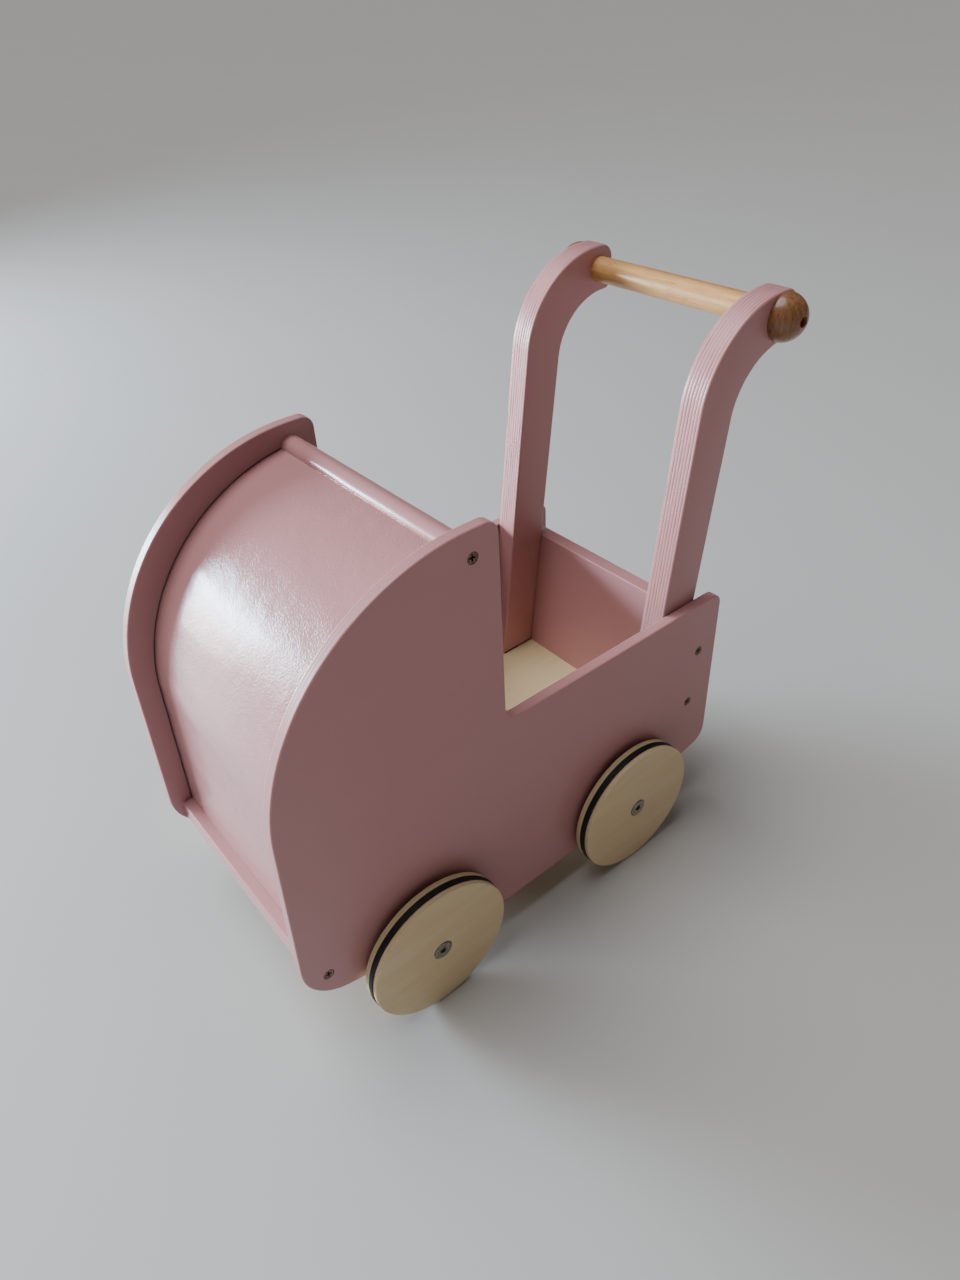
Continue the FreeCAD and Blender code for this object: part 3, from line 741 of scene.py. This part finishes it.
class PRAM_OT_handle(bpy.types.Operator):
    """Cuts the two bent uprights and turns the handle rod and its half balls"""
    bl_idname = "pram.handle"
    bl_label = "Handle"
    outline_step = 1.8 * MM
    quarter_points = 7
    flat_points = 72

    def execute(self, context):
        sizes = context.scene.pram_handle
        for side, sign in (("left", 1), ("right", -1)):
            self.cut_upright(sizes, "handle_upright_" + side)
            self.turn_cap(sizes, side, sign)
        turn_bar("beech_handle_rod", "handle_rod", beech_rod(), sections=180,
                 wobble=0.05 * MM, sanded=0.06 * MM)
        return {"FINISHED"}

    def upright_corners(self, sizes):
        """The side outline's (y, z, rounding) corners, from the front foot up and back down."""
        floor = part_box("floor_panel")[1]
        rod = centre_of("handle_rod")
        slope = math.tan(sizes.lean)
        top = rod.z + sizes.width / 2
        under = rod.z - sizes.width / 2
        shift = sizes.width / math.cos(sizes.lean)
        tip = rod.y + sizes.tip

        def rear(z):
            return floor.y + (z - floor.z) * slope

        return [
            (rear(floor.z) - shift, floor.z, sizes.foot_round),
            (rear(top) - shift, top, sizes.crown_radius),
            (tip, top, sizes.tip_round),
            (tip, under, sizes.chin_round),
            (rear(under), under, sizes.bend_radius),
            (rear(floor.z), floor.z, sizes.foot_round),
        ]

    def cut_upright(self, sizes, node):
        """The edge's section carried round the upright's outline.

        Across the thickness the section is a quarter round, a flat with one shallow groove for
        each layer of the plywood, and a quarter round. A groove is a bell curve whose depth
        changes from layer to layer and along the outline. The section moves in along the
        outline's normal by the round and the grooves. The two flat faces close it.
        """
        low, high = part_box(node)
        points, normals = rounded_path(self.upright_corners(sizes), self.outline_step)
        edge = sizes.edge_round
        quarter = np.radians(np.linspace(0, 90, self.quarter_points))
        sideways = edge * (1 - np.cos(quarter))
        inwards = edge * (1 - np.sin(quarter))
        flat = np.linspace(low.x + edge, high.x - edge, self.flat_points + 2)[1:-1]
        x = np.concatenate([low.x + sideways, flat, high.x - sideways[::-1]])
        inset = np.concatenate([inwards, np.zeros(len(flat)), inwards[::-1]])
        pitch = bpy.context.scene.pram_paint.layer_pitch
        layers = np.arange(low.x + edge, high.x - edge + pitch / 4, pitch)
        run = np.arange(len(points)) * self.outline_step
        number = np.arange(len(layers))[:, None]
        fading = smooth_noise(run / (19 * MM) + 5.1 * number, 2.2)
        depth = sizes.line_depth * (0.35 + 0.65 * fading)
        bells = np.exp(-((x - layers[:, None]) / sizes.line_width) ** 2)
        sunk = inset[:, None] + np.einsum("lr,lx->xr", depth, bells)
        y = points[:, 0] - normals[:, 0] * sunk
        z = points[:, 1] - normals[:, 1] * sunk
        grid = np.stack([np.broadcast_to(x[:, None], y.shape), y, z], -1)
        add_piece(node.replace("handle", "bent"), [grid], BODY, upright_paint(), node)

    def turn_cap(self, sizes, side, sign):
        """A half ball with a countersunk hole: an arc of the ball, a bevel and the hole's wall.

        The arc's first points give way to the softened edge of the flat.
        """
        node = "handle_cap_" + side
        centre, radius, flat = round_box(node)[:3]
        hole = sizes.hole_radius
        bevel = sizes.hole_bevel
        soft = 0.12 * MM
        mouth = math.degrees(math.asin((hole + bevel) / radius))
        edge = [(flat, radius - 0.4 * MM), (flat + soft, radius - 0.1 * MM)]
        ball = arc((flat, 0), radius, 90, mouth, 60)[3:]
        rim = flat + radius * math.cos(math.radians(mouth))
        floor = flat + radius - sizes.hole_depth
        well = [(rim - 0.6 * bevel, hole + soft), (rim - bevel, hole), (floor, hole), (flat, hole)]
        grid = turned(np.vstack([edge, ball, well]), centre, 110, sign)
        add_piece("turned_half_ball_" + side, [grid], BODY, dark_beech(), node, closed=True)


class PRAM_OT_wheels(bpy.types.Operator):
    """Turns the four plywood wheels and their rubber bands"""
    bl_idname = "pram.wheels"
    bl_label = "Wheels"
    steps = 180
    face_points = 24
    grain_turns = {"front_left": 0.5, "front_right": 1.9, "rear_left": -0.6, "rear_right": 1.1}

    def execute(self, context):
        sizes = context.scene.pram_wheel
        for wheel, sign in WHEELS.items():
            self.turn_disc(sizes, wheel, sign)
            self.turn_band(sizes, wheel, sign)
        return {"FINISHED"}

    def turn_disc(self, sizes, wheel, sign):
        """A closed section turned once round the axle: faces, rounded rims, groove, recess and bore."""
        node = "wheel_disc_" + wheel
        centre, rim, inner, outer = round_box(node)
        shoulder = rim - sizes.rim_round
        nib = sizes.nib
        groove_high = outer - sizes.lip
        groove_low = groove_high - sizes.groove
        seat = outer - sizes.seat_depth
        floor = rim - sizes.groove_depth
        face_in = np.linspace((inner, sizes.bore + nib), (inner, shoulder), self.face_points)
        face_out = np.linspace((outer, shoulder), (outer, sizes.seat_radius + nib), self.face_points)
        well = [(outer - nib, sizes.seat_radius), (seat, sizes.seat_radius), (seat, sizes.bore),
                (inner + nib, sizes.bore)]
        profile = np.vstack([face_in[:-1], self.lip(sizes, inner, groove_low, rim),
                             [(groove_low, floor), (groove_high, floor)],
                             self.lip(sizes, outer, groove_high, rim)[::-1], face_out[1:], well])
        grid = turned(profile, centre, self.steps, sign)
        material = birch_face("birch_wheel_" + wheel, self.grain_turns[wheel])
        add_piece("birch_wheel_" + wheel, [grid], "wheel_" + wheel, material, node,
                  closed=True)

    def lip(self, sizes, face, groove, rim):
        """From the face's edge, round the rim and across the lip to the groove's mouth.

        The lip carries shallow ridges where the layers of the plywood meet it, as a sine of the
        distance across.
        """
        bend = sizes.rim_round
        way = 1 if groove > face else -1
        corner = arc((0, 0), bend, 0, 90, 9)
        round_part = np.stack([face + way * (bend - corner[:, 0]), rim - bend + corner[:, 1]], -1)
        run = np.linspace(face + way * bend, groove - way * sizes.nib, 26)[1:]
        ridges = sizes.ridge * (np.sin(np.abs(run - face) / sizes.ridge_pitch * FULL_TURN) - 1)
        flat_part = np.stack([run, rim + ridges], -1)
        return np.vstack([round_part, flat_part, [(groove, rim - sizes.nib)]])

    def turn_band(self, sizes, wheel, sign):
        """A flat band with rounded shoulders and a faint dip along its middle."""
        node = "tyre_" + wheel
        centre, radius, inner, outer = round_box(node)
        crown = sizes.band_crown
        seat = radius - sizes.groove_depth
        left = arc((inner + crown, radius - crown), crown, 180, 90, 10)
        right = arc((outer - crown, radius - crown), crown, 90, 0, 10)
        x = np.linspace(inner + crown, outer - crown, 14)[1:-1]
        dip = sizes.band_dip * np.sin((x - inner - crown) / (outer - inner - 2 * crown) * math.pi)
        middle = np.stack([x, radius - dip], -1)
        profile = np.vstack([[(inner, seat)], left, middle, right, [(outer, seat)]])
        grid = turned(profile, centre, self.steps, sign)
        add_piece("rubber_band_" + wheel, [grid], "wheel_" + wheel, band_rubber(), node,
                  closed=True)


class PRAM_OT_fixings(bpy.types.Operator):
    """Forms the heads and sockets of the wheel bolts and the panel screws"""
    bl_idname = "pram.fixings"
    bl_label = "Bolts and screws"
    bolt_points = 144
    screw_points = 120

    def execute(self, context):
        sizes = context.scene.pram_fixings
        self.form_bolts(sizes)
        self.form_screws(sizes)
        return {"FINISHED"}

    def rings(self, rows, centre, sign, angle):
        """Rings of points about an X line, one for each row: a distance along it and a radius.

        The radius is one number, or one for each angle.
        """
        along = np.array([row[0] for row in rows])[:, None]
        radius = np.stack([np.broadcast_to(row[1], angle.shape) for row in rows])
        return around_x(along, radius, angle, centre, sign)

    def form_bolts(self, sizes):
        """Round heads that morph, ring by ring, into a six-sided socket.

        The socket's radius at an angle is its half width over the cosine of the angle from the
        nearest flat's middle.
        """
        angle = np.arange(self.bolt_points) * FULL_TURN / self.bolt_points
        from_flat = (angle + math.pi / 6) % (math.pi / 3) - math.pi / 6
        hexagon = sizes.bolt_socket / 2 / np.cos(from_flat)
        low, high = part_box("wheel_bolts")
        head = (high.z - low.z) / 2
        face = high.x
        seat = face - sizes.bolt_head
        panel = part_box("side_panel_left")[0].x
        edge = sizes.bolt_edge
        dish = 0.02 * MM
        floor = seat + 0.4 * MM
        shank = [(panel - sizes.bolt_reach, sizes.bolt_thread), (panel, sizes.bolt_thread),
                 (panel, sizes.bolt_shank), (seat, sizes.bolt_shank), (seat, head)]
        rounding = [(face - edge + edge * math.sin(turn), head - edge * (1 - math.cos(turn)))
                    for turn in np.radians(np.linspace(0, 90, 6))]
        dished_face = [(face - dish, head * 0.72), (face - 3 * dish, 4.2 * MM)]
        socket = [(face - 5 * dish, hexagon * 1.10), (face - 0.35 * MM, hexagon),
                  (floor + 0.1 * MM, hexagon), (floor, hexagon * 0.5)]
        rows = shank + rounding + dished_face + socket
        grids = [self.rings(rows, round_box("wheel_disc_" + wheel)[0], sign, angle)
                 for wheel, sign in WHEELS.items()]
        add_piece("hub_bolts", grids, BODY, bolt_steel(), "wheel_bolts")

    def form_screws(self, sizes):
        """Countersunk heads whose rings morph into a cross recess that narrows as it goes down."""
        angle = (np.arange(self.screw_points) + 0.5) * FULL_TURN / self.screw_points
        heads = screw_places()
        face = abs(heads[0].x)
        tip = face - sizes.screw_length
        head = sizes.screw_head
        blunt = 0.2 * MM
        shank = [(tip, blunt), (tip + sizes.screw_point, sizes.screw_shank),
                 (face - sizes.screw_cone, sizes.screw_shank)]
        rim = [(face - 0.35 * MM, head), (face - 0.12 * MM, head), (face, head - 0.22 * MM)]
        raised_face = [(face + 0.02 * MM, head * 0.80), (face - 0.05 * MM, head * 0.68)]
        recess = [(face - sink, self.cross(angle, sizes, narrow)) for sink, narrow in (
            (0.12 * MM, 1.0), (0.5 * MM, 0.92), (1.2 * MM, 0.72), (sizes.recess_depth, 0.45))]
        rows = shank + rim + raised_face + recess
        grids = [self.rings(rows, (0, spot.y, spot.z), math.copysign(1, spot.x), angle) for spot in heads]
        add_piece("panel_screw_heads", grids, BODY, screw_bronze(), "panel_screws")

    def cross(self, angle, sizes, narrow):
        """Radius of two crossed bars at each angle: the larger of the two bars' own."""
        reach = sizes.recess_span * narrow / 2
        half_arm = sizes.recess_arm * narrow / 2
        tiny = 1e-6
        cos = np.maximum(np.abs(np.cos(angle)), tiny)
        sin = np.maximum(np.abs(np.sin(angle)), tiny)
        level = np.minimum(reach / cos, half_arm / sin)
        upright = np.minimum(half_arm / cos, reach / sin)
        return np.maximum(level, upright)


def screw_places():
    """Middle of each panel screw's head, whose rim is a cluster of the frame's vertices."""
    tolerance = 0.01 * MM
    head_width = 10 * MM
    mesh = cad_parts["panel_screws"].data
    places = np.empty(len(mesh.vertices) * 3)
    mesh.vertices.foreach_get("co", places)
    places = places.reshape(-1, 3)
    face = np.abs(places[:, 0]).max()
    rims = places[np.abs(np.abs(places[:, 0]) - face) < tolerance]
    found = []
    for sign in (1, -1):
        waiting = rims[rims[:, 0] * sign > 0]
        while len(waiting):
            near = np.linalg.norm(waiting[:, 1:] - waiting[0, 1:], axis=1) < head_width
            rim = waiting[near]
            middle = (rim.min(0) + rim.max(0)) / 2
            found.append(Vector((sign * face, middle[1], middle[2])))
            waiting = waiting[~near]
    return found


# ---- Stage ----
# The window's panes: name, lower and upper edge, brightness and colour.
WINDOW_PANES = [
    ("window_high", 0.62, 0.92, 1.60, (0.64, 0.84, 1.0)),
    ("window_middle", 0.33, 0.60, 1.0, (0.82, 0.92, 1.0)),
    ("window_low", 0.05, 0.31, 0.50, (1.0, 0.93, 0.92)),
]


class PRAM_OT_stage(bpy.types.Operator):
    """Sets the floor, the soft lights and the camera"""
    bl_idname = "pram.stage"
    bl_label = "Stage"

    def execute(self, context):
        look = context.scene.pram_stage
        self.lay_floor(look)
        for name, low, high, level, tint in WINDOW_PANES:
            self.window_light(look, name, (low + high) / 2, high - low, level, tint)
        self.sky_light(look)
        self.set_room(look)
        self.place_camera(look)
        return {"FINISHED"}

    def lay_floor(self, look):
        """A wide flat disc: rings of points round a small middle face, each several times wider."""
        spokes = 64
        angle = np.arange(spokes) * FULL_TURN / spokes
        radius = np.array([0.05, 0.5, 2.0, 8.0, 60.0])[:, None]
        level = np.zeros((len(radius), spokes))
        grid = np.stack([radius * np.cos(angle), radius * np.sin(angle), level], -1)
        index = np.arange(level.size).reshape(level.shape)
        beside = np.roll(index, -1, axis=1)
        quads = np.stack([index[:-1], index[1:], beside[1:], beside[:-1]], -1).reshape(-1, 4).tolist()
        mesh = bpy.data.meshes.new("floor")
        mesh.from_pydata(grid.reshape(-1, 3).tolist(), [], quads + [index[0].tolist()])
        floor = link_object("floor", mesh)
        made, tree, shader, position = start_material("plain_floor")
        clouds = map_range(tree, noise(tree, position, 3.0, 3.0), 0.3, 0.7, 0.0, 0.08)
        tone = blend_colours(tree, clouds, look.floor_colour, look.floor_cloud)
        fill_inputs(tree, shader, {"Base Color": tone, "Roughness": look.floor_roughness,
                                   "Specular IOR Level": 0.5})
        mesh.materials.append(made)

    def add_lamp(self, name, kind, heading, **settings):
        """A lamp at the origin that shines along the heading."""
        data = bpy.data.lights.new(name, kind)
        for key, value in settings.items():
            setattr(data, key, value)
        lamp = link_object(name, data)
        lamp.rotation_euler = Vector(heading).to_track_quat("-Z", "Y").to_euler()
        return lamp

    def window_light(self, look, name, middle, height, level, tint):
        """A soft level light from one pane, towards the Z axis."""
        foot = Vector(look.window_place)
        lamp = self.add_lamp(name, "AREA", -foot, shape="RECTANGLE", size=look.window_width,
                             size_y=height, energy=look.window_power * level * height, color=tint)
        lamp.location = foot + Vector((0, 0, middle))
        lamp.visible_camera = False

    def sky_light(self, look):
        """A very wide soft source from high up, which lights the floor evenly out to its edge."""
        self.add_lamp("sky_light", "SUN", look.sky_heading, energy=look.sky_strength,
                      angle=look.sky_width, color=look.sky_colour)

    def set_room(self, look):
        room = bpy.data.worlds.new("room")
        room.use_nodes = True
        fill_inputs(room.node_tree, room.node_tree.nodes["Background"],
                    {"Color": (*look.room_colour, 1), "Strength": look.room_level})
        bpy.context.scene.world = room

    def place_camera(self, look):
        data = bpy.data.cameras.new("camera")
        data.sensor_width = 36.0
        data.lens = look.lens
        data.clip_end = 200.0
        camera = link_object("camera", data)
        camera.location = look.camera_place
        camera.rotation_euler = look.camera_turn
        bpy.context.scene.camera = camera


# ---- Add-on ----
class PRAM_PT_sidebar(bpy.types.Panel):
    bl_idname = "PRAM_PT_sidebar"
    bl_label = "Doll Pram"
    bl_space_type = "VIEW_3D"
    bl_region_type = "UI"
    bl_category = "Doll Pram"

    def draw(self, context):
        for operator in OPERATORS:
            self.layout.operator(operator.bl_idname)
        for name in SETTINGS:
            box = self.layout.box()
            settings = getattr(context.scene, name)
            for key in settings.__annotations__:
                box.prop(settings, key)


SETTINGS = {"pram_paint": PramPaint, "pram_hood": PramHood, "pram_handle": PramHandle,
            "pram_wheel": PramWheel, "pram_fixings": PramFixings, "pram_stage": PramStage}
OPERATORS = [PRAM_OT_body, PRAM_OT_hood, PRAM_OT_handle, PRAM_OT_wheels, PRAM_OT_fixings, PRAM_OT_stage]


def register():
    for group in SETTINGS.values():
        bpy.utils.register_class(group)
    for name, group in SETTINGS.items():
        setattr(bpy.types.Scene, name, PointerProperty(type=group))
    for operator in OPERATORS:
        bpy.utils.register_class(operator)
    bpy.utils.register_class(PRAM_PT_sidebar)


def unregister():
    bpy.utils.unregister_class(PRAM_PT_sidebar)
    for operator in reversed(OPERATORS):
        bpy.utils.unregister_class(operator)
    for name in SETTINGS:
        delattr(bpy.types.Scene, name)
    for group in reversed(SETTINGS.values()):
        bpy.utils.unregister_class(group)


def main():
    register()
    bpy.ops.pram.body()
    bpy.ops.pram.hood()
    bpy.ops.pram.handle()
    bpy.ops.pram.wheels()
    bpy.ops.pram.fixings()
    bpy.ops.pram.stage()


if __name__ == "__main__":
    main()
